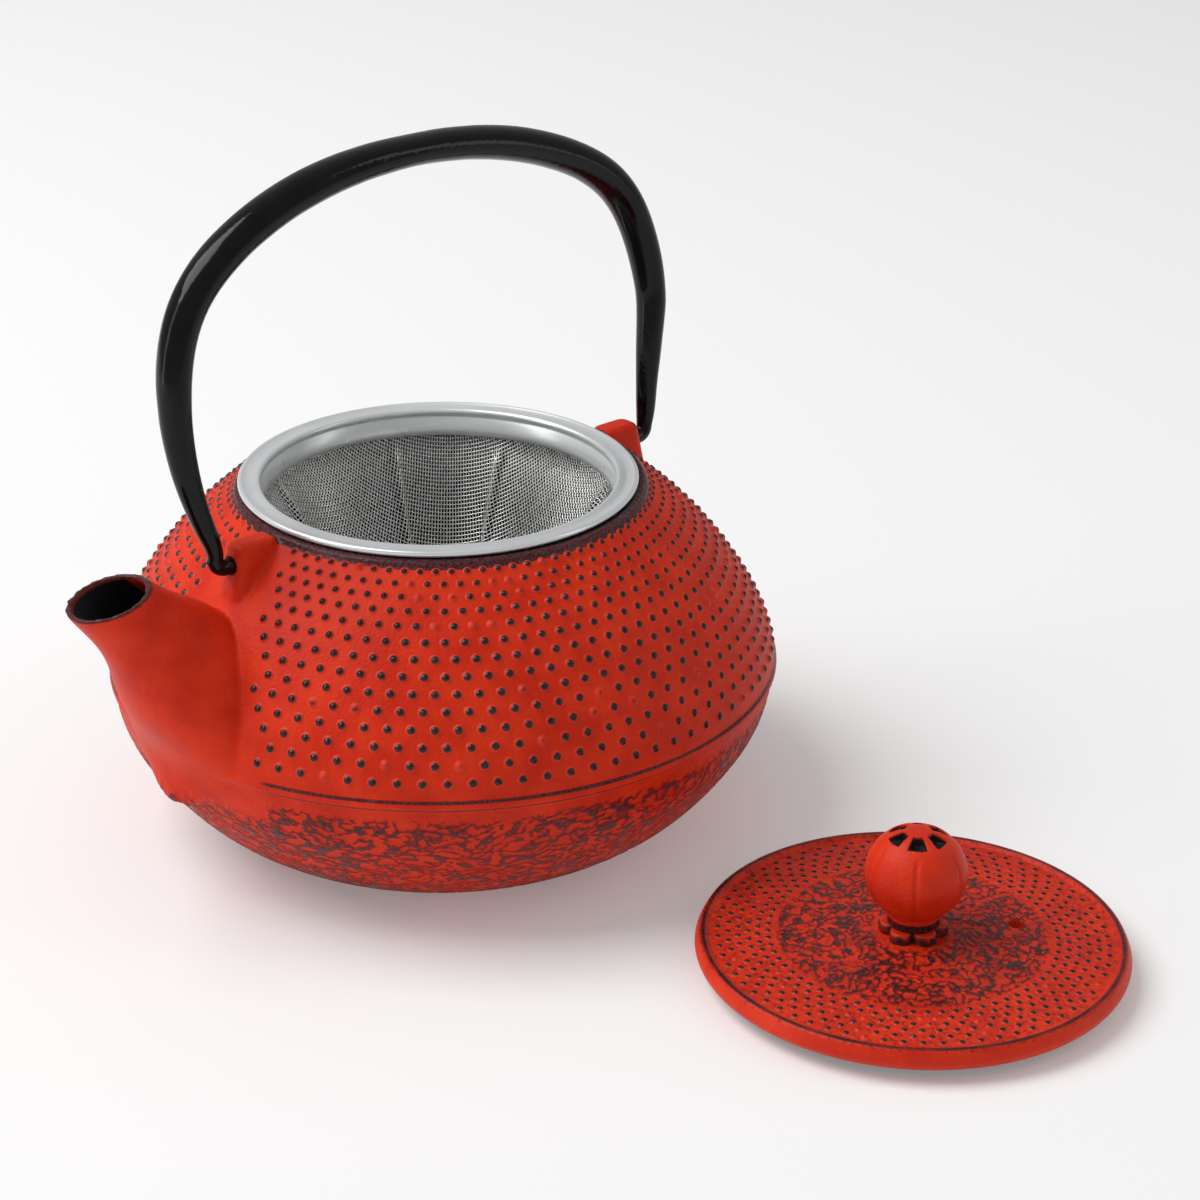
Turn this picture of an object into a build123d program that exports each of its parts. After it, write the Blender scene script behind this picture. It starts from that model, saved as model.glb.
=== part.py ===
from build123d import *
import os
from math import cos, radians, sin

# Cast-iron teapot with a hinged bail handle, a lift-out mesh infuser and a loose lid.
# The origin is the centre of the foot on the table, +Z is up and +X points to the spout.

# Pot casting
foot_radius = 46.0
ridge_radius = 77.5
ridge_top = 38.9
ridge_band = 2.2
ridge_proud = 0.9
neck_radius = 47.4
neck_height = 79.9
rim_height = 81.1
rim_radius = 46.9
mouth_radius = 42.5
mouth_depth = 3.6
floor_height = 4.0
parting_height = 37.8

# Spout: the lip is an ellipse on a plane that is nearly level
spout_lip_x = 89.9
spout_lip_z = 78.1
spout_lip_angle = 77.0
spout_lip_length = 9.6
spout_lip_width = 8.9
spout_wall = 1.5

# Bail lugs on the shoulder
lug_foot_z = 64.0
lug_top_z = 81.2
lug_inner_x = 47.3
lug_foot_x = 60.6
lug_top_x = 58.0
lug_foot_width = 10.6
lug_top_width = 6.6

# Bail handle
hinge_height = 76.4
bail_lean = 7.3
pin_diameter = 3.7
pin_clearance = 0.06
pin_tip_x = 52.8
pin_bend_x = 59.9
pin_bend_radius = 2.5
bail_foot_x = 63.8
bail_half_width = 67.4
bail_shoulder_x = 61.2
bail_height = 80.0

# Infuser basket, standing a little off centre in the wide mouth
basket_shift_x = 0.49
basket_shift_y = -0.43
flange_radius = 45.6
flange_opening = 40.3
flange_underside = 81.2
flange_sheet = 0.7
bead_radius = 0.75
band_bottom = 76.2
band_radius = 39.9
mesh_thickness = 0.5
mesh_top = 78.4
mesh_top_radius = 41.0
mesh_bottom = 38.6
mesh_bottom_radius = 17.5

# Lid, lying beside the pot on its locating skirt
lid_x = -27.0
lid_y = 126.4
lid_radius = 46.8
lid_edge_low = 2.5
lid_edge_top = 7.9
lid_groove_radius = 43.7
lid_crown = 8.7
lid_underside = 4.5
skirt_radius = 39.0
skirt_thickness = 3.0
vent_radius = 1.9
vent_reach = 23.2
vent_angle = 149.4

# Knob
knob_turn = 42.7
knob_centre_z = 23.0
knob_radius = 10.95
knob_half_height = 10.45
knob_low_angle = -57.5
knob_neck_radius = 5.6
seat_top = 11.0
petal_count = 6
petal_reach = 4.9
petal_radius = 2.6
window_count = 6
window_inner = 2.9
window_outer = 6.3
window_depth = 1.4
rivet_radius = 2.0
rivet_clearance = 0.05
rivet_head_radius = 4.2
rivet_head_drop = 1.5
rivet_top = 16.0

os.makedirs("parts", exist_ok=True)


def save(piece, label):
    piece.part.label = label
    export_step(piece.part, f"parts/{label}.step")


def level_ellipse(height, centre_x, length, width):
    """A spout section: an ellipse on a level plane, half-length along X, half-width along Y."""
    with BuildSketch(Plane.XY.offset(height)) as section:
        with Locations((centre_x, 0)):
            Ellipse(length, width)
    return section.sketch


def lip_ellipse(length, width, beyond):
    """A spout section on the lip's own plane, moved out of the lip by beyond."""
    lean = radians(spout_lip_angle)
    centre = (spout_lip_x + beyond * cos(lean), 0, spout_lip_z + beyond * sin(lean))
    plane = Plane(origin=centre, x_dir=(sin(lean), 0, -cos(lean)), z_dir=(cos(lean), 0, sin(lean)))
    with BuildSketch(plane) as section:
        Ellipse(length, width)
    return section.sketch


# ---- pot: one hollow casting with its spout and two lugs ----

with BuildPart() as spout_form:
    # the fairing swells out of the bowl, then narrows and leans out to the lip
    sections = [
        level_ellipse(24, 53.0, 19.0, 18.0),
        level_ellipse(31, 60.0, 17.6, 25.0),
        level_ellipse(38, 65.0, 13.9, 27.0),
        level_ellipse(46, 68.0, 15.4, 21.2),
        level_ellipse(54, 71.0, 15.8, 17.2),
        level_ellipse(62, 74.2, 15.6, 13.0),
        level_ellipse(69, 79.4, 14.6, 10.2),
        level_ellipse(74, 85.2, 12.6, 9.2),
        lip_ellipse(spout_lip_length, spout_lip_width, 0),
    ]
    loft(sections)

with BuildPart() as spout_bore:
    passage = [
        level_ellipse(44, 63.0, 11.5, 12.0),
        level_ellipse(54, 69.0, 13.2, 13.2),
        level_ellipse(62, 74.2, 12.6, 9.8),
        level_ellipse(69, 79.6, 11.9, 7.7),
        level_ellipse(74, 85.3, 10.5, 7.3),
        lip_ellipse(spout_lip_length - spout_wall, spout_lip_width - spout_wall, 0),
        lip_ellipse(spout_lip_length - spout_wall, spout_lip_width - spout_wall, 4),
    ]
    loft(passage)

with BuildPart() as lug_form:
    with BuildSketch(Plane.XY.offset(lug_foot_z)) as lug_foot:
        with Locations(((lug_inner_x + lug_foot_x) / 2, 0)):
            RectangleRounded(lug_foot_x - lug_inner_x, lug_foot_width, 2.5)
    with BuildSketch(Plane.XY.offset(lug_top_z)) as lug_top:
        with Locations(((lug_inner_x + lug_top_x) / 2, 0)):
            RectangleRounded(lug_top_x - lug_inner_x, lug_top_width, 2.5)
    loft()
    fillet(lug_form.faces().sort_by(Axis.Z)[-1].edges(), 1.8)

with BuildPart() as pot_cavity:
    with BuildSketch(Plane.XZ):
        with BuildLine():
            inside = Spline(
                (mouth_radius, rim_height - mouth_depth),
                (56.6, 66.9),
                (71.1, 46.0),
                (72.7, 35.0),
                (59.4, 12.6),
                (46.0, floor_height),
                tangents=[(0.8, -0.5), (-1, -0.12)],
            )
            Polyline(
                inside @ 1,
                (0, floor_height),
                (0, rim_height + 5),
                (mouth_radius, rim_height + 5),
                inside @ 0,
            )
        make_face()
    revolve(axis=Axis.Z)

with BuildPart() as pot_envelope:
    with BuildSketch(Plane.XZ):
        with BuildLine():
            bowl = Spline(
                (foot_radius, 0),
                (62.3, 10.4),
                (70.9, 20.8),
                (ridge_radius - ridge_proud, ridge_top - ridge_band),
                tangents=[(1, 0.42), (0.08, 1)],
            )
            shoulder = Spline(
                (ridge_radius - 0.6, ridge_top),
                (74.6, 47.2),
                (68.2, 58.3),
                (59.2, 69.4),
                (neck_radius, neck_height),
                tangents=[(-0.1, 1), (-1, 0.86)],
            )
            Polyline(
                bowl @ 1,
                (ridge_radius, ridge_top - ridge_band + 0.5),
                (ridge_radius, ridge_top - 0.3),
                shoulder @ 0,
            )
            Polyline(shoulder @ 1, (rim_radius, rim_height), (0, rim_height), (0, 0), bowl @ 0)
        make_face()
    revolve(axis=Axis.Z)

# the casting is given as three solids that meet face to face: bowl, shoulder and spout
with BuildPart() as pot_bowl:
    add(pot_envelope.part)
    add(pot_cavity.part, mode=Mode.SUBTRACT)
    split(bisect_by=Plane.XY.offset(parting_height), keep=Keep.BOTTOM)

save(pot_bowl, "pot_bowl")

with BuildPart() as pot_shoulder:
    add(pot_envelope.part)
    split(bisect_by=Plane.XY.offset(parting_height), keep=Keep.TOP)
    add(lug_form.part)
    add(lug_form.part.rotate(Axis.Z, 180))
    add(pot_cavity.part, mode=Mode.SUBTRACT)
    add(spout_bore.part, mode=Mode.SUBTRACT)
    # blind pin holes, open on the outer face of each lug
    for side in (-1, 1):
        with BuildSketch(Plane(origin=(side * (pin_tip_x - 0.4), 0, hinge_height), z_dir=(side, 0, 0))):
            Circle(pin_diameter / 2 + pin_clearance)
        extrude(amount=12, mode=Mode.SUBTRACT)

save(pot_shoulder, "pot_shoulder")

with BuildPart() as pot_spout:
    add(spout_form.part)
    add(pot_envelope.part, mode=Mode.SUBTRACT)
    add(spout_bore.part, mode=Mode.SUBTRACT)

save(pot_spout, "pot_spout")

# ---- bail: a forged arch, oval in section, with a turned-in pin at each end ----

lean = radians(bail_lean)
bail_plane = Plane(origin=(0, 0, hinge_height), x_dir=(1, 0, 0), z_dir=(0, -cos(lean), -sin(lean)))

with BuildLine(bail_plane) as bail_path:
    right_bend = JernArc((pin_bend_x, 0), (1, 0), pin_bend_radius, 80)
    left_bend = JernArc((-pin_bend_x, 0), (-1, 0), pin_bend_radius, -80)
    arch = Spline(
        right_bend @ 1,
        (bail_foot_x, 10.0),
        (bail_half_width, 37.3),
        (bail_shoulder_x, 57.8),
        (43.7, 71.4),
        (0, bail_height),
        (-43.7, 71.4),
        (-bail_shoulder_x, 57.8),
        (-bail_half_width, 37.3),
        (-bail_foot_x, 10.0),
        left_bend @ 1,
        tangents=[(0.17, 1), (0.17, -1)],
    )


def bail_section(reach):
    """Thickness in the bail's plane and width across it, by distance along the arch from its end."""
    ends = [0, 12, 25, 42, 68, 98, 128]
    thick = [3.7, 5.0, 6.3, 7.5, 8.3, 8.0, 7.0]
    wide = [3.7, 5.2, 6.7, 8.3, 9.9, 10.5, 10.5]
    for low in range(len(ends) - 1):
        if reach <= ends[low + 1]:
            share = (reach - ends[low]) / (ends[low + 1] - ends[low])
            return (
                thick[low] + share * (thick[low + 1] - thick[low]),
                wide[low] + share * (wide[low + 1] - wide[low]),
            )
    return thick[-1], wide[-1]


with BuildPart() as bail_handle:
    station_count = 44
    stations = []
    for station in range(station_count + 1):
        share = station / station_count
        reach = arch.length * min(share, 1 - share)
        thickness, width = bail_section(reach)
        across = Plane(origin=arch @ share, x_dir=bail_plane.z_dir, z_dir=arch % share)
        with BuildSketch(across) as oval:
            Ellipse(width / 2, thickness / 2)
        stations.append(oval.sketch)
    loft(stations)
    with BuildSketch(Plane(origin=right_bend @ 0, z_dir=right_bend % 0)) as pin_circle:
        Circle(pin_diameter / 2)
    sweep(sections=pin_circle.sketch, path=right_bend)
    extrude(pin_circle.sketch, amount=-(pin_bend_x - pin_tip_x))
    with BuildSketch(Plane(origin=left_bend @ 0, z_dir=left_bend % 0)) as left_circle:
        Circle(pin_diameter / 2)
    sweep(sections=left_circle.sketch, path=left_bend)
    extrude(left_circle.sketch, amount=-(pin_bend_x - pin_tip_x))

save(bail_handle, "bail_handle")

# ---- infuser: a pressed rim with a drawn mesh cup below it ----

basket_axis = Axis((basket_shift_x, basket_shift_y, 0), (0, 0, 1))
basket_plane = Plane(origin=(basket_shift_x, basket_shift_y, 0), x_dir=(1, 0, 0), z_dir=(0, -1, 0))
flange_top = flange_underside + 1.1

with BuildPart() as infuser_rim:
    with BuildSketch(basket_plane):
        # the flat flange ends outside in a rolled bead and turns down inside into a sloping band
        with BuildLine():
            Polyline(
                (flange_radius - bead_radius, flange_top),
                (flange_opening + 0.5, flange_top),
                (flange_opening, flange_top - 0.5),
                (flange_opening + 0.1, flange_top - 1.3),
                (band_radius, band_bottom),
                (band_radius + flange_sheet, band_bottom),
                (flange_opening + 0.9, flange_top - 1.6),
                (flange_opening + 1.2, flange_top - flange_sheet),
                (flange_radius - bead_radius, flange_top - flange_sheet),
                close=True,
            )
        make_face()
        with Locations((flange_radius - bead_radius, flange_underside + bead_radius + 0.1)):
            Circle(bead_radius)
    revolve(axis=basket_axis)

save(infuser_rim, "infuser_rim")


def cup_points(inset):
    """The drawn cup's outline from the band down to its flat base."""
    return [
        (mesh_top_radius - inset, band_bottom - 0.2),
        (38.4 - inset, 70.5),
        (31.2 - inset, 57.5),
        (mesh_bottom_radius + 5.2 - 0.8 * inset, mesh_bottom + 4.2 + 0.4 * inset),
        (mesh_bottom_radius - 0.5 * inset, mesh_bottom + inset),
    ]


with BuildPart() as infuser_mesh:
    with BuildSketch(basket_plane):
        with BuildLine():
            outside = Spline(*cup_points(-mesh_thickness), tangents=[(-0.12, -1), (-1, 0)])
            inside_cup = Spline(*cup_points(0), tangents=[(-0.12, -1), (-1, 0)])
            Polyline(
                outside @ 0,
                (mesh_top_radius + mesh_thickness, mesh_top),
                (mesh_top_radius, mesh_top),
                inside_cup @ 0,
            )
            Polyline(outside @ 1, (0, mesh_bottom - mesh_thickness), (0, mesh_bottom), inside_cup @ 1)
        make_face()
    revolve(axis=basket_axis)

save(infuser_mesh, "infuser_mesh")

# ---- lid: a flat plate with a rolled edge, a vent hole and a skirt that fits the infuser ----

lid_axis = Axis((lid_x, lid_y, 0), (0, 0, 1))
lid_plane = Plane(origin=(lid_x, lid_y, 0), x_dir=(1, 0, 0), z_dir=(0, -1, 0))
edge_middle = (lid_edge_low + lid_edge_top) / 2

with BuildPart() as lid_plate:
    with BuildSketch(lid_plane):
        with BuildLine():
            Polyline(
                (0, lid_underside),
                (skirt_radius - skirt_thickness, lid_underside),
                (skirt_radius - skirt_thickness, 0),
                (skirt_radius, 0),
                (skirt_radius, lid_edge_low + 0.9),
                (lid_radius - 3.2, lid_edge_low),
            )
            edge = Spline(
                (lid_radius - 3.2, lid_edge_low),
                (lid_radius - 0.9, edge_middle - 1.8),
                (lid_radius, edge_middle),
                (lid_radius - 0.7, edge_middle + 1.8),
                (lid_radius - 2.3, lid_edge_top),
                tangents=[(1, 0), (-1, 0.1)],
            )
            Polyline(
                edge @ 1,
                (lid_groove_radius, lid_edge_top - 0.9),
                (8.0, lid_crown),
                (0, lid_crown),
                (0, lid_underside),
            )
        make_face()
    revolve(axis=lid_axis)
    with Locations(Plane(origin=(lid_x, lid_y, lid_underside), z_dir=(0, 0, 1))):
        with PolarLocations(vent_reach, 1, start_angle=vent_angle):
            Hole(vent_radius, depth=20)
        Hole(rivet_radius + rivet_clearance, depth=20)

save(lid_plate, "lid_plate")

# ---- knob: a ball with six windows in its crown on a petalled seat, riveted from below ----

with BuildPart() as knob_seat:
    with BuildSketch(Plane(origin=(lid_x, lid_y, lid_crown))):
        Circle(petal_reach)
        with PolarLocations(petal_reach, petal_count, start_angle=knob_turn + 30):
            Circle(petal_radius)
    extrude(amount=seat_top - lid_crown)
    fillet(knob_seat.faces().sort_by(Axis.Z)[-1].edges(), 0.9)
    with Locations(Plane(origin=(lid_x, lid_y, lid_crown))):
        Hole(rivet_radius + rivet_clearance, depth=20)

save(knob_seat, "knob_seat")

with BuildSketch() as pocket:
    # one window, wider towards its outer side
    pocket_half = 180 / window_count * 0.66
    with BuildLine():
        inner_arc = CenterArc((0, 0), window_inner, -pocket_half, 2 * pocket_half)
        outer_arc = CenterArc((0, 0), window_outer, -pocket_half, 2 * pocket_half)
        Line(inner_arc @ 0, outer_arc @ 0)
        Line(inner_arc @ 1, outer_arc @ 1)
    make_face()

with BuildPart() as lid_knob:
    with BuildSketch(lid_plane):
        with BuildLine():
            ball_angles = [radians(knob_low_angle + (90 - knob_low_angle) * step / 8) for step in range(9)]
            ball_points = [
                (knob_radius * cos(angle), knob_centre_z + knob_half_height * sin(angle))
                for angle in ball_angles
            ]
            ball = Spline(*ball_points)
            Polyline(ball @ 0, (knob_neck_radius, seat_top), (0, seat_top), ball @ 1)
        make_face()
    revolve(axis=lid_axis)
    with BuildSketch(Plane(origin=(lid_x, lid_y, knob_centre_z + knob_half_height + 1))):
        for window in range(window_count):
            add(pocket.sketch.rotate(Axis.Z, knob_turn + 360 / window_count * window))
    extrude(amount=-(window_depth + 2.4), mode=Mode.SUBTRACT)
    with BuildSketch(Plane(origin=(lid_x, lid_y, seat_top))):
        Circle(rivet_radius + rivet_clearance)
    extrude(amount=rivet_top + 0.5 - seat_top, mode=Mode.SUBTRACT)

save(lid_knob, "lid_knob")

with BuildPart() as knob_rivet:
    with BuildSketch(lid_plane):
        with BuildLine():
            dome = ThreePointArc(
                (0, lid_underside - rivet_head_drop),
                (rivet_head_radius * 0.7, lid_underside - rivet_head_drop * 0.72),
                (rivet_head_radius, lid_underside),
            )
            Polyline(
                dome @ 1,
                (rivet_radius, lid_underside),
                (rivet_radius, rivet_top),
                (0, rivet_top),
                dome @ 0,
            )
        make_face()
    revolve(axis=lid_axis)

save(knob_rivet, "knob_rivet")
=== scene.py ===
import math

import bmesh
import bpy
import numpy as np
from mathutils import Matrix, Vector
from mathutils.bvhtree import BVHTree


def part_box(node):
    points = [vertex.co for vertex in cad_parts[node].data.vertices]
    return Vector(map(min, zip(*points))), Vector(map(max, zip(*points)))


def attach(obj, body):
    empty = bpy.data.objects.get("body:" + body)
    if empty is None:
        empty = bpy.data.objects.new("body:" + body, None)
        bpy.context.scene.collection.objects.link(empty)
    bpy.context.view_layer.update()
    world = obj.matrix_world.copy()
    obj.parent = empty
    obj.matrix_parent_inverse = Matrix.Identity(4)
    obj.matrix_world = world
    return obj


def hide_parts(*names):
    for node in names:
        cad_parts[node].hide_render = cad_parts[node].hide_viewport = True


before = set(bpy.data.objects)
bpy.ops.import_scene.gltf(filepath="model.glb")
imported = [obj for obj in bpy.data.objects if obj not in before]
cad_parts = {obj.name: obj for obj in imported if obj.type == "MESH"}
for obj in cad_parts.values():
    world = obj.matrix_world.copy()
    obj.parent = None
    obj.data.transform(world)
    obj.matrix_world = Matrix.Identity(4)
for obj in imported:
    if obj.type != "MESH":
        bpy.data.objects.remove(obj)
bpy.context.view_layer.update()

MM = 0.001

# ---- camera, given as where it looks, from which side and how far away ----
VIEW_AZIMUTH = 138.64
VIEW_ELEVATION = 24.53
VIEW_ROLL = 0.32
VIEW_DISTANCE = 0.70067
VIEW_TARGET = Vector((-0.027205, 0.023948, 0.051017))
SENSOR = 36.0
LENS = 90.62

# ---- pot surface ----
POT_NODES = ("pot_bowl", "pot_shoulder", "pot_spout")
POT_VOXEL = 0.56 * MM
STUDS_PER_ROW = 90
STUD_ROWS = 14
FIRST_ROW_HEIGHT = 42.9 * MM
STUD_GAP_SHARE = 0.059
STUD_GAP_MOST = 3.72 * MM
STUD_HEIGHT = 0.72 * MM
STUD_MARGIN = 3.4 * MM
STUD_SIZE_SHARE = 0.40
STUD_SIDES = 10
STUD_RINGS = (0.16, 0.32, 0.48, 0.64, 0.82, 1.0)
STUD_SINK = 0.04 * MM
LIP_FACING = np.array([math.cos(math.radians(77)), 0, math.sin(math.radians(77))])
BARK_TOP = 35.6 * MM
BARK_DEPTH = 0.30 * MM
BARK_LENGTH = 3.1 * MM
BARK_STRETCH = 1.7
RIDGE_TOP = 38.9 * MM
RIDGE_LOWER_DROP = 2.3 * MM
SPOUT_ROOT = np.array([0.062, 0, 0.044])
BORE_ROOT_HALF = 13.4 * MM
BORE_NARROWING = 5.6 * MM
BORE_LENGTHWISE_HALF = 14.5 * MM
CAVITY_INSET = 1.7 * MM
CAVITY_BOTTOM = 3 * MM
FOOT_TOP = 6 * MM
LIP_SOFTENING_ROUNDS = 5
RIDGE_WIDTH = 0.30

# ---- lid surface ----
LID_VOXEL = 0.36 * MM
LID_STUD_RINGS = 6
LID_STUDS_PER_RING = 66
LID_STUD_INNER = 0.665
LID_STUD_OUTER = 0.895
LID_STUD_SIZE = 1.12 * MM
LID_BARK_SHARE = 0.63
LID_BARK_DEPTH = 0.24 * MM
LID_BARK_LENGTH = 2.3 * MM
LID_STUD_HEIGHT = 0.5 * MM
LID_WORN_LINE = 45.0 * MM
LID_WORN_LINE_HALF = 0.8 * MM
LID_UNDER_HEIGHT = 5 * MM
LID_TOP_HEIGHT = 5.5 * MM
SEAT_RADIUS = 8.6 * MM

# ---- knob and seat ----
KNOB_VOXEL = 0.22 * MM
KNOB_TURN = math.radians(42.7)
KNOB_HALF_HEIGHT = 10.45 * MM
KNOB_LOBES = 6
KNOB_GROOVE_HALF = 0.55 * MM
KNOB_GROOVE_DEPTH = 0.34 * MM
KNOB_SEAM_HEIGHT = 18.2 * MM
KNOB_SEAM_HALF = 0.25 * MM
KNOB_SEAM_RISE = 0.09 * MM
SEAT_VOXEL = 0.16 * MM
SEAT_LUMP_HEIGHT = 0.10 * MM

# ---- infuser rim ----
SHEET_THICKNESS = 0.6 * MM
BEAD_RADIUS = 0.72 * MM
RIM_OPENING = 40.3 * MM

# ---- woven cup ----
WIRE_PITCH = 0.95 * MM
WIRE_RADIUS = 0.17 * MM
WEAVE_DEPTH = 0.17 * MM
PLEAT_ANGLE = math.radians(18.8)
PLEAT_DEPTH = 1.3 * MM
CLOTH_INSET = 0.3 * MM
WEAVE_TURN = math.radians(VIEW_AZIMUTH - 90)

# ---- enamel: its two reds, and its dark low and high worn tones on each part ----
RED_DEEP = (0.56, 0.020, 0.0035)
RED_LIGHT = (0.68, 0.033, 0.006)
POT_WORN = ((0.050, 0.010, 0.012), (0.105, 0.040, 0.044))
STUD_WORN = ((0.010, 0.005, 0.005), (0.035, 0.022, 0.022))
LID_WORN = ((0.034, 0.006, 0.006), (0.075, 0.024, 0.024))

# ---- surroundings ----
FLOOR_HALF = 6.0
WORLD_STRENGTH = 0.40


# ---- mesh helpers ----


def points_of(mesh):
    flat = np.empty(len(mesh.vertices) * 3, np.float32)
    mesh.vertices.foreach_get("co", flat)
    return flat.reshape(-1, 3).astype(float)


def normals_of(mesh):
    flat = np.empty(len(mesh.vertices) * 3, np.float32)
    mesh.vertices.foreach_get("normal", flat)
    return flat.reshape(-1, 3).astype(float)


def move_points(mesh, points):
    mesh.vertices.foreach_set("co", points.astype(np.float32).ravel())
    mesh.update()


def paint(mesh, name, values):
    """Stores one number for each point, for the material to read."""
    attribute = mesh.attributes.new(name, "FLOAT", "POINT")
    attribute.data.foreach_set("value", np.asarray(values, np.float32))


def new_piece(name, mesh):
    mesh.shade_smooth()
    piece = bpy.data.objects.new(name, mesh)
    bpy.context.scene.collection.objects.link(piece)
    return piece


def welded(nodes):
    """CAD nodes' meshes in one, each with its split edges joined, so that it is closed."""
    joined = bmesh.new()
    for node in nodes:
        work = bmesh.new()
        work.from_mesh(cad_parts[node].data)
        bmesh.ops.remove_doubles(work, verts=work.verts, dist=1e-6)
        closed = bpy.data.meshes.new(node + "_closed")
        work.to_mesh(closed)
        work.free()
        joined.from_mesh(closed)
    mesh = bpy.data.meshes.new(nodes[0] + "_joined")
    joined.to_mesh(mesh)
    joined.free()
    return mesh


def refined(nodes, name, voxel):
    """The shape of CAD nodes as one even mesh, fine enough to carry texture."""
    piece = bpy.data.objects.new(name, welded(nodes))
    bpy.context.scene.collection.objects.link(piece)
    remesh = piece.modifiers.new("even", "REMESH")
    remesh.mode = "VOXEL"
    remesh.voxel_size = voxel
    graph = bpy.context.evaluated_depsgraph_get()
    even = bpy.data.meshes.new_from_object(piece.evaluated_get(graph))
    piece.modifiers.clear()
    piece.data = even
    even.materials.clear()
    even.shade_smooth()
    return piece


def soften(mesh, weight, rounds):
    """Relaxes each point towards its neighbours, by a weight from 0 to 1 for each point."""
    edges = np.empty(len(mesh.edges) * 2, np.int32)
    mesh.edges.foreach_get("vertices", edges)
    first, second = edges.reshape(-1, 2).T
    count = np.bincount(edges, minlength=len(mesh.vertices)).reshape(-1, 1)
    points = points_of(mesh)
    for _ in range(rounds):
        total = np.zeros_like(points)
        for axis in range(3):
            total[:, axis] += np.bincount(first, points[second, axis], len(points))
            total[:, axis] += np.bincount(second, points[first, axis], len(points))
        points += weight.reshape(-1, 1) * 0.5 * (total / count - points)
    move_points(mesh, points)


def smooth_step(low, high, value):
    share = np.clip((value - low) / (high - low), 0, 1)
    return share * share * (3 - 2 * share)


def soft_noise(points, seed):
    """Smooth gradient noise, from about -1 to 1, over points in lattice units."""
    source = np.random.default_rng(seed)
    slopes = source.normal(size=(512, 3))
    slopes /= np.linalg.norm(slopes, axis=1, keepdims=True)
    cell = np.floor(points).astype(np.int64)
    part = points - cell
    fade = part * part * part * (part * (part * 6 - 15) + 10)
    total = np.zeros(len(points))
    for corner in range(8):
        step = np.array([corner & 1, corner >> 1 & 1, corner >> 2 & 1])
        place = cell + step
        index = (place[:, 0] * 73856093 ^ place[:, 1] * 19349663 ^ place[:, 2] * 83492791) & 511
        weight = np.prod(np.where(step, fade, 1 - fade), axis=1)
        total += weight * np.einsum("ij,ij->i", slopes[index], part - step)
    return total * 1.7


def bark(points, wavelength, stretch, seed):
    """A wrinkle field: thin winding ridges near 1 on ground near 0, longer in level directions."""
    scaled = points / wavelength * np.array([1, 1, stretch])
    bend = np.stack([soft_noise(scaled * 0.5 + 9 * axis, seed + axis) for axis in range(3)], axis=1)
    field = soft_noise(scaled + 0.7 * bend, seed + 5) + 0.35 * soft_noise(scaled * 2.1, seed + 6)
    return np.exp(-((field / RIDGE_WIDTH) ** 2))


def lathe(name, outline, centre, turns=288, closed=True):
    """A ring or shell from an outline of (radius, height) points."""
    count = len(outline)
    radii, heights = np.array(outline).T
    angles = np.arange(turns) * 2 * math.pi / turns
    points = np.empty((turns, count, 3))
    points[:, :, 0] = centre[0] + np.cos(angles)[:, None] * radii
    points[:, :, 1] = centre[1] + np.sin(angles)[:, None] * radii
    points[:, :, 2] = heights
    faces = []
    for turn in range(turns):
        here = turn * count
        there = (turn + 1) % turns * count
        for step in range(count if closed else count - 1):
            after = (step + 1) % count
            faces.append((here + step, there + step, there + after, here + after))
    mesh = bpy.data.meshes.new(name)
    mesh.from_pydata(points.reshape(-1, 3).tolist(), [], faces)
    mesh.update()
    return new_piece(name, mesh)


def round_arc(centre, radius, start, end, steps):
    """Points along an arc of an outline, angles in degrees."""
    angles = np.radians(np.linspace(start, end, steps))
    return [(centre[0] + radius * math.cos(a), centre[1] + radius * math.sin(a)) for a in angles]


def tree_of(piece):
    return BVHTree.FromObject(piece, bpy.context.evaluated_depsgraph_get())


# ---- materials ----


def material(name, base, roughness, metallic=0.0):
    made = bpy.data.materials.new(name)
    made.use_nodes = True
    shader = made.node_tree.nodes["Principled BSDF"]
    shader.inputs["Base Color"].default_value = (*base, 1)
    shader.inputs["Roughness"].default_value = roughness
    shader.inputs["Metallic"].default_value = metallic
    return made, made.node_tree, shader


def noise_node(tree, wavelength, detail=2.0):
    """Noise over the piece's own coordinates."""
    place = tree.nodes.new("ShaderNodeTexCoord")
    noise = tree.nodes.new("ShaderNodeTexNoise")
    noise.inputs["Scale"].default_value = 1 / wavelength
    noise.inputs["Detail"].default_value = detail
    tree.links.new(place.outputs["Object"], noise.inputs["Vector"])
    return noise.outputs["Fac"]


def spread(tree, value, low, high, to_low=0.0, to_high=1.0):
    node = tree.nodes.new("ShaderNodeMapRange")
    node.interpolation_type = "SMOOTHSTEP"
    node.inputs["From Min"].default_value = low
    node.inputs["From Max"].default_value = high
    node.inputs["To Min"].default_value = to_low
    node.inputs["To Max"].default_value = to_high
    tree.links.new(value, node.inputs["Value"])
    return node.outputs["Result"]


def painted(tree, name):
    node = tree.nodes.new("ShaderNodeAttribute")
    node.attribute_name = name
    return node.outputs["Fac"]


def sums(tree, first, second, operation="ADD"):
    node = tree.nodes.new("ShaderNodeMath")
    node.operation = operation
    for index, value in enumerate((first, second)):
        if isinstance(value, (int, float)):
            node.inputs[index].default_value = value
        else:
            tree.links.new(value, node.inputs[index])
    return node.outputs["Value"]


def blend_colour(tree, factor, low, high):
    node = tree.nodes.new("ShaderNodeMix")
    node.data_type = "RGBA"
    tree.links.new(factor, node.inputs["Factor"])
    for socket, value in ((node.inputs["A"], low), (node.inputs["B"], high)):
        if isinstance(value, tuple):
            socket.default_value = (*value, 1)
        else:
            tree.links.new(value, socket)
    return node.outputs["Result"]


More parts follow.
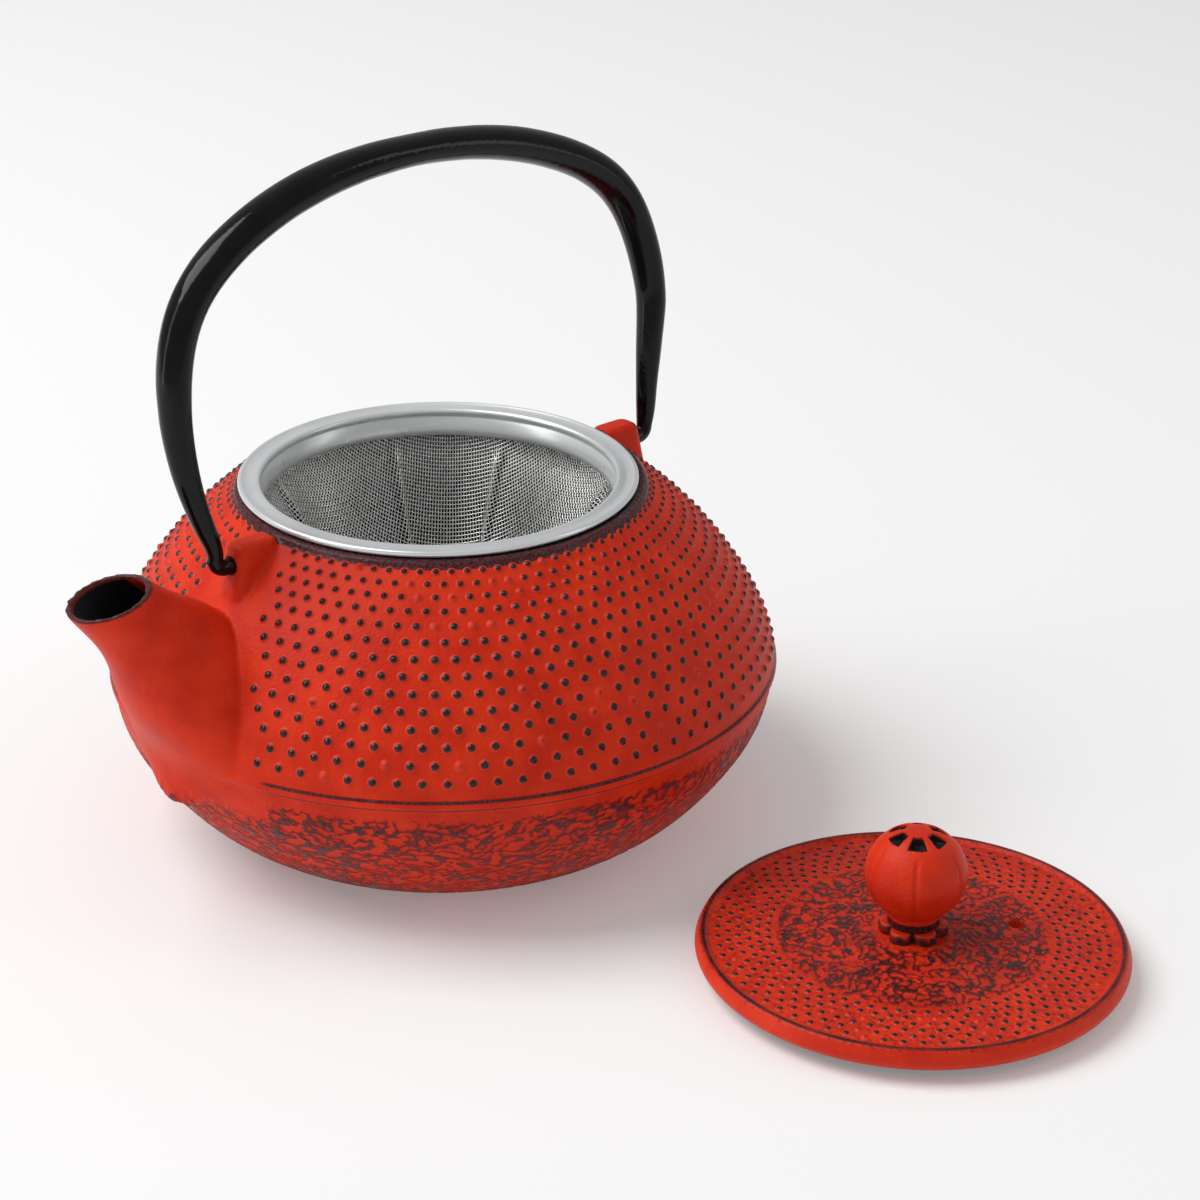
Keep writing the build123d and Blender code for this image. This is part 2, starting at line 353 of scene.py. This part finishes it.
def bumped(tree, shader, height, depth, strength=1.0):
    node = tree.nodes.new("ShaderNodeBump")
    node.inputs["Distance"].default_value = depth
    node.inputs["Strength"].default_value = strength
    tree.links.new(height, node.inputs["Height"])
    tree.links.new(node.outputs["Normal"], shader.inputs["Normal"])


def enamel_material(name, worn_low, worn_high, shine=0.14):
    """Satin red enamel, worn dark on high spots and black enamelled inside; the same wear value also carries
    painted shade, which turns it a deeper red.
    """
    made, tree, shader = material(name, (0.55, 0.03, 0.01), 0.42)
    shader.inputs["Specular IOR Level"].default_value = shine
    mottle = noise_node(tree, 9 * MM, 3)
    red = blend_colour(tree, spread(tree, mottle, 0.3, 0.7), RED_DEEP, RED_LIGHT)
    speck = noise_node(tree, 0.55 * MM, 2)
    scatter = sums(tree, sums(tree, speck, 0.5, "SUBTRACT"), 0.34, "MULTIPLY")
    rough_edge = sums(tree, painted(tree, "wear_and_shade"), scatter)
    # the bruise tone, a deeper red, serves for rubbed spots and for painted shade alike
    bruise_and_shade = spread(tree, rough_edge, 0.30, 0.50)
    shaded = blend_colour(tree, bruise_and_shade, red, (0.23, 0.012, 0.007))
    bare = spread(tree, rough_edge, 0.50, 0.62)
    dark = blend_colour(tree, spread(tree, speck, 0.35, 0.7), worn_low, worn_high)
    outside = blend_colour(tree, bare, shaded, dark)
    lining = painted(tree, "lining")
    colour = blend_colour(tree, lining, outside, (0.016, 0.016, 0.017))
    tree.links.new(colour, shader.inputs["Base Color"])
    gloss = spread(tree, bare, 0, 1, 0.46, 0.19)
    tree.links.new(sums(tree, gloss, spread(tree, mottle, 0.2, 0.8, -0.04, 0.05)), shader.inputs["Roughness"])
    peel = noise_node(tree, 0.8 * MM, 3)
    bumped(tree, shader, peel, 0.17 * MM, 0.9)
    return made


def lacquer_material():
    made, tree, shader = material("black_lacquer_gloss", (0.003, 0.003, 0.0035), 0.12)
    shader.inputs["Specular IOR Level"].default_value = 0.2
    wave = noise_node(tree, 14 * MM, 2)
    colour = blend_colour(tree, spread(tree, wave, 0.3, 0.7), (0.002, 0.002, 0.0022), (0.0045, 0.0047, 0.005))
    tree.links.new(colour, shader.inputs["Base Color"])
    tree.links.new(spread(tree, wave, 0.2, 0.8, 0.09, 0.17), shader.inputs["Roughness"])
    bumped(tree, shader, noise_node(tree, 3.5 * MM, 3), 0.12 * MM, 0.5)
    return made


def sheet_steel_material():
    made, tree, shader = material("pressed_steel_satin", (0.8, 0.81, 0.82), 0.3, 0.55)
    broad = noise_node(tree, 11 * MM, 2)
    colour = blend_colour(tree, broad, (0.74, 0.76, 0.77), (0.82, 0.84, 0.85))
    tree.links.new(colour, shader.inputs["Base Color"])
    tree.links.new(spread(tree, broad, 0.3, 0.7, 0.27, 0.34), shader.inputs["Roughness"])
    return made


def wire_material():
    made, tree, shader = material("woven_wire", (0.76, 0.76, 0.735), 0.28, 1.0)
    tree.links.new(spread(tree, noise_node(tree, 2 * MM), 0.3, 0.7, 0.24, 0.34), shader.inputs["Roughness"])
    return made


def rivet_material():
    made, tree, shader = material("peened_rivet", (0.2, 0.2, 0.21), 0.5, 1.0)
    dents = noise_node(tree, 1.2 * MM, 2)
    steel = blend_colour(tree, dents, (0.12, 0.12, 0.12), (0.30, 0.30, 0.31))
    tree.links.new(steel, shader.inputs["Base Color"])
    bumped(tree, shader, dents, 0.15 * MM, 0.7)
    return made


def pale_material():
    made, tree, shader = material("pale_floor", (0.74, 0.74, 0.74), 0.9)
    shader.inputs["Specular IOR Level"].default_value = 0.0
    shader.inputs["Emission Color"].default_value = (1, 1, 1, 1)
    shader.inputs["Emission Strength"].default_value = 0.19
    return made


pot_enamel = enamel_material("pot_enamel", *POT_WORN)
stud_enamel = enamel_material("stud_enamel", *STUD_WORN, shine=0.28)
lid_enamel = enamel_material("lid_enamel", *LID_WORN, shine=0.20)


# ---- studs: flared domes that lie on the casting ----


def stud_field(name, places, sizes, height, tree, seed):
    """One mesh of studs. Each follows the surface under it and flares out flat at its foot."""
    source = np.random.default_rng(seed)
    points, faces, wear = [], [], []
    for (place, normal), size in zip(places, sizes):
        start = len(points)
        side = normal.orthogonal().normalized()
        other = normal.cross(side)
        tall = height * source.uniform(0.88, 1.1)
        wear_and_shade = 1.0 if source.random() > 0.07 else source.uniform(0.35, 0.6)
        for share in (0.0, *STUD_RINGS):
            rise = (1 - share * share) ** 2
            for turn in range(1 if share == 0 else STUD_SIDES):
                angle = turn * 2 * math.pi / STUD_SIDES
                spot = place + (side * math.cos(angle) + other * math.sin(angle)) * size * share
                foot, facing, _, _ = tree.find_nearest(spot)
                points.append(foot + facing * (tall * rise - STUD_SINK * share))
                wear.append(wear_and_shade * min(1.0, rise * 1.06))
        for turn in range(STUD_SIDES):
            after = (turn + 1) % STUD_SIDES
            faces.append((start, start + 1 + turn, start + 1 + after))
            for ring in range(len(STUD_RINGS) - 1):
                low = start + 1 + ring * STUD_SIDES
                high = low + STUD_SIDES
                faces.append((low + turn, high + turn, high + after, low + after))
    mesh = bpy.data.meshes.new(name)
    mesh.from_pydata([tuple(p) for p in points], [], faces)
    mesh.update()
    paint(mesh, "wear_and_shade", wear)
    paint(mesh, "lining", np.zeros(len(wear)))
    piece = new_piece(name, mesh)
    piece.data.materials.append(stud_enamel)
    return piece


# ---- pot ----

pot = refined(POT_NODES, "pot_casting", POT_VOXEL)
pot_boxes = [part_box(node) for node in POT_NODES]
pot_low = Vector([min(box[0][axis] for box in pot_boxes) for axis in range(3)])
pot_high = Vector([max(box[1][axis] for box in pot_boxes) for axis in range(3)])
ridge_radius = -pot_low.x
pot_shape = welded(POT_NODES)
cad_tree = BVHTree.FromPolygons(
    [point.co.copy() for point in pot_shape.vertices],
    [tuple(face.vertices) for face in pot_shape.polygons],
)


def outside_radius(height):
    """The casting's outer radius at a height, measured on the side with no spout or lug."""
    hit = cad_tree.ray_cast(Vector((0, -0.2, height)), Vector((0, 1, 0)))[0]
    return -hit.y


def measured_profile(low, high, count=260):
    heights = np.linspace(low, high, count)
    radii = np.array([outside_radius(float(h)) for h in heights])
    return heights, radii


profile_heights, profile_radii = measured_profile(0.5 * MM, pot_high.z - 0.6 * MM)
place = points_of(pot.data)
spout_end = smooth_step(0.066, 0.071, place[:, 2]) * smooth_step(0.068, 0.074, place[:, 0])
soften(pot.data, spout_end, LIP_SOFTENING_ROUNDS)
place = points_of(pot.data)
facing = normals_of(pot.data)
reach = np.hypot(place[:, 0], place[:, 1])
outer = np.interp(place[:, 2], profile_heights, profile_radii)
lip = place[(place[:, 0] > pot_high.x - 0.008) & (place[:, 2] > 0.076)].mean(axis=0)
along = np.clip((place[:, 2] - SPOUT_ROOT[2]) / (lip[2] - SPOUT_ROOT[2]), 0, 1.2)[:, None]
spout_line = SPOUT_ROOT + along * (lip - SPOUT_ROOT)
in_cavity = (reach < outer - CAVITY_INSET) & (place[:, 2] > CAVITY_BOTTOM)
bore_width = BORE_ROOT_HALF - BORE_NARROWING * along[:, 0]
in_bore = (place[:, 0] > 0.055) & (place[:, 2] > 0.046) & (np.abs(place[:, 1]) < bore_width)
in_bore &= (np.einsum("ij,ij->i", facing, spout_line - place) > 0) & (reach > outer - 3 * MM)
in_bore &= np.abs(place[:, 0] - spout_line[:, 0]) < BORE_LENGTHWISE_HALF
lining = (in_cavity | in_bore).astype(float)
lining[(place[:, 2] < FOOT_TOP) & (facing[:, 2] < 0)] = 0
near_spout = smooth_step(0.052, 0.060, place[:, 0]) * smooth_step(0.030, 0.024, np.abs(place[:, 1]))

bowl_side = smooth_step(BARK_TOP + 1.2 * MM, BARK_TOP - 3.5 * MM, place[:, 2]) * (1 - lining)
bowl_side *= 1 - near_spout * smooth_step(26 * MM, 33 * MM, place[:, 2])
wrinkle = bark(place, BARK_LENGTH, BARK_STRETCH, 11)
drift = soft_noise(place / (38 * MM), 31)
wear_and_shade = bowl_side * (0.16 + 0.46 * wrinkle + 0.16 * drift)
place += facing * (BARK_DEPTH * bowl_side * (wrinkle - 0.5))[:, None]

# the ridge: a thin worn line along its top edge, and a broader dark line painted below it
plain_ridge = smooth_step(ridge_radius - 1.1 * MM, ridge_radius - 0.5 * MM, reach) * (1 - lining)
plain_ridge *= 1 - near_spout
upper_line = np.exp(-(((place[:, 2] - RIDGE_TOP) / (0.45 * MM)) ** 2))
lower_line = np.exp(-(((place[:, 2] - RIDGE_TOP + RIDGE_LOWER_DROP) / (0.7 * MM)) ** 2))
wear_and_shade = np.maximum(wear_and_shade, plain_ridge * (0.72 * upper_line + 0.66 * lower_line + 0.12 * drift))

# the casting's rim and the spout's lip are worn to dark iron
rim = smooth_step(pot_high.z - 1.9 * MM, pot_high.z - 1.4 * MM, place[:, 2])
rim *= smooth_step(48.6 * MM, 47.7 * MM, reach)
beyond = place @ LIP_FACING
near_lip = (place[:, 0] > 0.074) & (place[:, 2] > 0.070)
lip_level = beyond[near_lip].max()
lip_edge = smooth_step(lip_level - 1.1 * MM, lip_level - 0.4 * MM, beyond) * near_lip
wear_and_shade = np.maximum(wear_and_shade, np.maximum(rim, 0.62 * lip_edge))
lining = lining * (1 - 0.9 * lip_edge)
move_points(pot.data, place)
paint(pot.data, "wear_and_shade", wear_and_shade)
paint(pot.data, "lining", lining)
pot.data.materials.append(pot_enamel)
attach(pot, "pot")
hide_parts(*POT_NODES)

pot_tree = tree_of(pot)


def clear_of_fittings(angle, height):
    """True where the plain shoulder shows, with no spout or lug within the margin."""
    radius = outside_radius(height)
    for step in range(9):
        turn = step * math.pi / 4
        shift = STUD_MARGIN if step < 8 else 0
        level = min(height + shift * 0.7 * math.sin(turn), pot_high.z - 2 * MM)
        round_to = angle + shift * math.cos(turn) / radius
        start = Vector((0.2 * math.cos(round_to), 0.2 * math.sin(round_to), level))
        inward = Vector((-math.cos(round_to), -math.sin(round_to), 0))
        hit = cad_tree.ray_cast(start, inward)[0]
        if hit is None or math.hypot(hit.x, hit.y) > outside_radius(level) + 0.35 * MM:
            return False
    return True


stud_places, stud_sizes = [], []
row_height = FIRST_ROW_HEIGHT
for row in range(STUD_ROWS):
    row_radius = outside_radius(row_height)
    gap = min(STUD_GAP_SHARE * row_radius, STUD_GAP_MOST)
    for number in range(STUDS_PER_ROW):
        angle = (number + 0.5 * (row % 2)) * 2 * math.pi / STUDS_PER_ROW
        if clear_of_fittings(angle, row_height):
            spot = Vector((row_radius * math.cos(angle), row_radius * math.sin(angle), row_height))
            foot, facing_out, _, _ = pot_tree.find_nearest(spot)
            stud_places.append((foot, facing_out))
            stud_sizes.append(gap * STUD_SIZE_SHARE)
    rise = outside_radius(row_height + 1 * MM) - row_radius
    row_height += gap / math.hypot(1, rise / (1 * MM))
studs = stud_field("pot_studs", stud_places, stud_sizes, STUD_HEIGHT, pot_tree, 5)
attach(studs, "pot")

# ---- lid ----

lid = refined(["lid_plate"], "lid_casting", LID_VOXEL)
lid_low, lid_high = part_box("lid_plate")
lid_centre = (lid_low + lid_high) / 2
lid_radius = (lid_high.x - lid_low.x) / 2
place = points_of(lid.data)
facing = normals_of(lid.data)
reach = np.hypot(place[:, 0] - lid_centre.x, place[:, 1] - lid_centre.y)
upper = smooth_step(0.2, 0.6, facing[:, 2]) * (place[:, 2] > LID_TOP_HEIGHT)
bark_radius = LID_BARK_SHARE * lid_radius
zone = upper * smooth_step(bark_radius + 1 * MM, bark_radius - 1 * MM, reach)
zone *= smooth_step(SEAT_RADIUS - 1.5 * MM, SEAT_RADIUS + 1 * MM, reach)
wrinkle = bark(place, LID_BARK_LENGTH, 1.0, 71)
place += facing * (LID_BARK_DEPTH * zone * (wrinkle - 0.5))[:, None]
wear_and_shade = zone * (0.20 + 0.46 * wrinkle)
# painted shade, speckled: the lid's whole upper face is darkened towards a deeper red, standing in for the
# shade over the plate
wear_and_shade = np.maximum(wear_and_shade, upper * (0.35 + 0.12 * soft_noise(place / (1.1 * MM), 79)))
edge_line = np.exp(-(((reach - LID_WORN_LINE) / LID_WORN_LINE_HALF) ** 2))
wear_and_shade = np.maximum(wear_and_shade, upper * edge_line * (0.66 + 0.14 * soft_noise(place / (5 * MM), 77)))
underside = (facing[:, 2] < 0.1) & (place[:, 2] < LID_UNDER_HEIGHT)
lining = smooth_step(lid_radius - 2.5 * MM, lid_radius - 3.5 * MM, reach) * underside
move_points(lid.data, place)
paint(lid.data, "wear_and_shade", wear_and_shade)
paint(lid.data, "lining", lining)
lid.data.materials.append(lid_enamel)
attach(lid, "lid")
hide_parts("lid_plate")

lid_tree = tree_of(lid)
ring_places, ring_sizes = [], []
for ring in range(LID_STUD_RINGS):
    share = LID_STUD_INNER + (LID_STUD_OUTER - LID_STUD_INNER) * ring / (LID_STUD_RINGS - 1)
    for number in range(LID_STUDS_PER_RING):
        angle = (number + 0.5 * (ring % 2)) * 2 * math.pi / LID_STUDS_PER_RING
        spot = Vector((lid_centre.x, lid_centre.y, lid_high.z))
        spot += Vector((math.cos(angle), math.sin(angle), 0)) * share * lid_radius
        foot, facing_out, _, _ = lid_tree.find_nearest(spot)
        ring_places.append((foot, facing_out))
        ring_sizes.append(LID_STUD_SIZE)
lid_studs = stud_field("lid_studs", ring_places, ring_sizes, LID_STUD_HEIGHT, lid_tree, 6)
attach(lid_studs, "lid")

# ---- knob, seat and rivet ----

knob = refined(["lid_knob"], "knob_ball", KNOB_VOXEL)
knob_low, knob_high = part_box("lid_knob")
place = points_of(knob.data)
facing = normals_of(knob.data)
ball_radius = (knob_high.x - knob_low.x) / 2
ball_centre = Vector((lid_centre.x, lid_centre.y, knob_high.z - KNOB_HALF_HEIGHT))
around = np.arctan2(place[:, 1] - ball_centre.y, place[:, 0] - ball_centre.x)
reach = np.hypot(place[:, 0] - ball_centre.x, place[:, 1] - ball_centre.y)
half_lobe = math.pi / KNOB_LOBES
groove_angle = (around - KNOB_TURN + half_lobe) % (2 * half_lobe) - half_lobe
outer_skin = smooth_step(4.5 * MM, 6.8 * MM, reach)
groove = np.exp(-((groove_angle * reach / KNOB_GROOVE_HALF) ** 2)) * outer_skin
groove *= smooth_step(knob_high.z - 2.6 * MM, knob_high.z - 4.5 * MM, place[:, 2])
place -= facing * (KNOB_GROOVE_DEPTH * groove)[:, None]
seam = np.exp(-(((place[:, 2] - KNOB_SEAM_HEIGHT) / KNOB_SEAM_HALF) ** 2)) * outer_skin
place += facing * (KNOB_SEAM_RISE * seam)[:, None]
fill = (reach / ball_radius) ** 2 + ((place[:, 2] - ball_centre.z) / KNOB_HALF_HEIGHT) ** 2
window = (place[:, 2] > ball_centre.z + 5 * MM) * smooth_step(0.95, 0.88, fill)
neck = smooth_step(knob_low.z + 2.6 * MM, knob_low.z + 1.2 * MM, place[:, 2])
wear_and_shade = np.maximum(0.95 * neck, 0.30 * groove * (reach > 6 * MM))
wear_and_shade = np.maximum(wear_and_shade, 0.25 * seam)
move_points(knob.data, place)
paint(knob.data, "wear_and_shade", wear_and_shade)
paint(knob.data, "lining", window)
knob.data.materials.append(lid_enamel)
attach(knob, "lid")
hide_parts("lid_knob")

seat = refined(["knob_seat"], "petalled_seat", SEAT_VOXEL)
place = points_of(seat.data)
facing = normals_of(seat.data)
lumps = soft_noise(place / (1.7 * MM), 91)
lit_petal_top = smooth_step(0.5, 0.9, facing[:, 2])
move_points(seat.data, place + facing * (SEAT_LUMP_HEIGHT * lumps)[:, None])
# The petals are worn dark, with random lumps of tone; their upward faces are kept redder, so the faces turned
# away from the lamps above carry painted shade.
paint(seat.data, "wear_and_shade", 0.56 - 0.34 * lit_petal_top + 0.25 * lumps)
paint(seat.data, "lining", np.zeros(len(place)))
seat.data.materials.append(lid_enamel)
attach(seat, "lid")
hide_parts("knob_seat")

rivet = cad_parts["knob_rivet"]
rivet.data.materials.clear()
rivet.data.materials.append(rivet_material())

# ---- bail ----

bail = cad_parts["bail_handle"]
bail.data.materials.clear()
bail.data.materials.append(lacquer_material())

# ---- infuser rim: flat flange, rolled bead outside, rounded lip and band inside ----

rim_low, rim_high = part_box("infuser_rim")
rim_centre = (rim_low + rim_high) / 2
rim_radius = (rim_high.x - rim_low.x) / 2
flange_top = rim_high.z - 0.45 * MM
sheet, bead, opening = SHEET_THICKNESS, BEAD_RADIUS, RIM_OPENING
outline = [(opening + 2.1 * MM, flange_top)]
outline += [(rim_radius - 2.4 * bead, flange_top)]
outline += round_arc((rim_radius - bead, rim_high.z - bead), bead, 128, -128, 18)
outline += [(rim_radius - 2.4 * bead, flange_top - sheet), (opening + 1.9 * MM, flange_top - sheet)]
outline += round_arc((opening + 1.5 * MM, flange_top - sheet - 0.6 * MM), 0.6 * MM, 80, 178, 7)
outline += [(opening + 0.45 * MM, rim_low.z + 1.0 * MM), (opening + 0.3 * MM, rim_low.z)]
outline += [(opening - 0.35 * MM, rim_low.z), (opening - 0.1 * MM, rim_low.z + 1.2 * MM)]
outline += [(opening + 0.25 * MM, flange_top - 1.9 * MM), (opening + 0.55 * MM, flange_top - 1.7 * MM)]
outline += [(opening + 0.35 * MM, flange_top - 1.3 * MM)]
outline += round_arc((opening + 0.95 * MM, flange_top - 0.6 * MM), 0.85 * MM, 200, 84, 9)
ring = lathe("infuser_flange", outline, rim_centre)
ring.data.materials.append(sheet_steel_material())
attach(ring, "infuser")
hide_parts("infuser_rim")

# ---- woven cup: one flat sheet of wire cloth drawn into a tapered cup ----

cup_low, cup_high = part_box("infuser_mesh")
cup_centre = ((cup_low.x + cup_high.x) / 2, (cup_low.y + cup_high.y) / 2)
cup_tree = tree_of(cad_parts["infuser_mesh"])


def cup_meridian():
    """The cup's inner line from the middle of its floor to its top: radius and height by length."""
    heights = np.concatenate([np.linspace(cup_low.z + 0.8 * MM, cup_low.z + 4.5 * MM, 14)[1:],
                              np.linspace(cup_low.z + 5 * MM, rim_low.z + 0.4 * MM, 60)])
    radii = []
    for height in heights:
        start = Vector((cup_centre[0], cup_centre[1], float(height)))
        hit = cup_tree.ray_cast(start, Vector((0, -1, 0)))[0]
        radii.append(abs(hit.y - cup_centre[1]))
    radii = np.concatenate([[0, radii[0] * 0.96], radii])
    heights = np.concatenate([[cup_low.z + 0.75 * MM] * 2, heights])
    length = np.concatenate([[0], np.cumsum(np.hypot(np.diff(radii), np.diff(heights)))])
    return length, radii, heights


lengths, cup_radii, cup_heights = cup_meridian()
sheet_radius = lengths[-1]


def drawn(along_u, along_v, lift):
    """Where a point of the flat sheet lands on the cup, lifted off it by lift."""
    distance = np.hypot(along_u, along_v)
    angle = np.arctan2(along_v, along_u)
    radius = np.interp(distance, lengths, cup_radii)
    height = np.interp(distance, lengths, cup_heights)
    quarter = (angle + math.pi / 4) % (math.pi / 2) - math.pi / 4
    crease = np.exp(-(((np.abs(quarter) - PLEAT_ANGLE) / 0.028) ** 2))
    on_wall = smooth_step(0.30, 0.55, distance / sheet_radius)
    steep = smooth_step(0.2, 0.5, distance / sheet_radius)
    below_band = smooth_step(1.0, 0.9, distance / sheet_radius)
    radius = radius - (CLOTH_INSET + PLEAT_DEPTH * crease * on_wall * below_band)
    radius = np.maximum(radius, 0) + lift * steep
    height = height + lift * (1 - steep)
    turned = angle + WEAVE_TURN
    return np.stack([
        cup_centre[0] + radius * np.cos(turned),
        cup_centre[1] + radius * np.sin(turned),
        height,
    ], axis=1)


def wires(name, way):
    """All the wires that run one way through the cloth, as thin square tubes."""
    count = int(sheet_radius / WIRE_PITCH)
    points, faces = [], []
    total = 0
    for wire in range(-count, count + 1):
        across = wire * WIRE_PITCH
        half = int(math.sqrt(max(sheet_radius**2 - across**2, 0)) / WIRE_PITCH)
        steps = np.arange(-half, half + 1)
        if len(steps) < 3:
            continue
        run = steps * WIRE_PITCH
        sign = np.where((steps + wire + way) % 2 == 0, 1, -1) * (1 if way == 0 else -1)
        fixed = np.full(len(run), across)
        pair = (run, fixed) if way == 0 else (fixed, run)
        line = drawn(pair[0], pair[1], sign * WEAVE_DEPTH)
        ahead = np.gradient(line, axis=0)
        ahead /= np.linalg.norm(ahead, axis=1, keepdims=True) + 1e-12
        outward = line - np.array([cup_centre[0], cup_centre[1], rim_high.z])
        outward /= np.linalg.norm(outward, axis=1, keepdims=True)
        side = np.cross(ahead, outward)
        side /= np.linalg.norm(side, axis=1, keepdims=True) + 1e-12
        over = np.cross(side, ahead)
        for spin in range(4):
            angle = spin * math.pi / 2
            points.append(line + WIRE_RADIUS * (side * math.cos(angle) + over * math.sin(angle)))
        size = len(run)
        for spin in range(4):
            here = total + spin * size
            there = total + (spin + 1) % 4 * size
            for step in range(size - 1):
                faces.append((here + step, here + step + 1, there + step + 1, there + step))
        faces.append(tuple(total + spin * size for spin in range(4)))
        faces.append(tuple(total + spin * size + size - 1 for spin in (3, 2, 1, 0)))
        total += 4 * size
    mesh = bpy.data.meshes.new(name)
    mesh.from_pydata(np.concatenate(points).tolist(), [], faces)
    mesh.update()
    return new_piece(name, mesh)


wire_steel = wire_material()
for way, name in ((0, "mesh_warp"), (1, "mesh_weft")):
    cloth = wires(name, way)
    cloth.data.materials.append(wire_steel)
    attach(cloth, "infuser")
    if way == 0:
        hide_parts("infuser_mesh")

# ---- floor, light and camera ----

floor_mesh = bpy.data.meshes.new("floor")
floor_corners = [(-1, -1), (1, -1), (1, 1), (-1, 1)]
floor_mesh.from_pydata([(x * FLOOR_HALF, y * FLOOR_HALF, 0) for x, y in floor_corners], [], [(0, 1, 2, 3)])
floor = new_piece("floor", floor_mesh)
floor_mesh.materials.append(pale_material())

world = bpy.data.worlds.new("studio")
bpy.context.scene.world = world
world.use_nodes = True
world.node_tree.nodes["Background"].inputs["Color"].default_value = (1, 1, 1, 1)
world.node_tree.nodes["Background"].inputs["Strength"].default_value = WORLD_STRENGTH

azimuth = math.radians(VIEW_AZIMUTH)
elevation = math.radians(VIEW_ELEVATION)
roll = math.radians(VIEW_ROLL)
back = Vector((
    math.sin(azimuth) * math.cos(elevation),
    -math.cos(azimuth) * math.cos(elevation),
    math.sin(elevation),
))
level_right = (-back).cross(Vector((0, 0, 1))).normalized()
level_up = level_right.cross(-back)
right = level_right * math.cos(roll) + level_up * math.sin(roll)
up = level_up * math.cos(roll) - level_right * math.sin(roll)


def softbox(name, side, rise, nearer, width, height, power):
    """An area light placed in the camera's own directions, aimed at the pot."""
    data = bpy.data.lights.new(name, "AREA")
    data.shape = "RECTANGLE"
    data.size = width
    data.size_y = height
    data.energy = power
    light = bpy.data.objects.new(name, data)
    level_back = Vector((back.x, back.y, 0)).normalized()
    target = Vector((0, 0, 0.05))
    light.location = target + level_right * side + Vector((0, 0, rise)) + level_back * nearer
    light.rotation_euler = (light.location - target).to_track_quat("Z", "Y").to_euler()
    bpy.context.scene.collection.objects.link(light)


softbox("key", -1.1, 1.6, 0.0, 1.3, 1.3, 30.5)
softbox("left_strip", -1.0, 0.35, 0.35, 0.22, 1.1, 1.6)
softbox("right_strip", 0.95, 0.45, 0.1, 0.14, 1.0, 0.8)

camera_data = bpy.data.cameras.new("camera")
camera_data.sensor_width = SENSOR
camera_data.lens = LENS
camera_data.clip_start = 0.01
camera = bpy.data.objects.new("camera", camera_data)
bpy.context.scene.collection.objects.link(camera)
pose = np.eye(4)
pose[:3, 0], pose[:3, 1], pose[:3, 2] = right, up, back
pose[:3, 3] = VIEW_TARGET + back * VIEW_DISTANCE
camera.matrix_world = Matrix(pose.tolist())
bpy.context.scene.camera = camera
bpy.context.scene.view_settings.view_transform = "Standard"
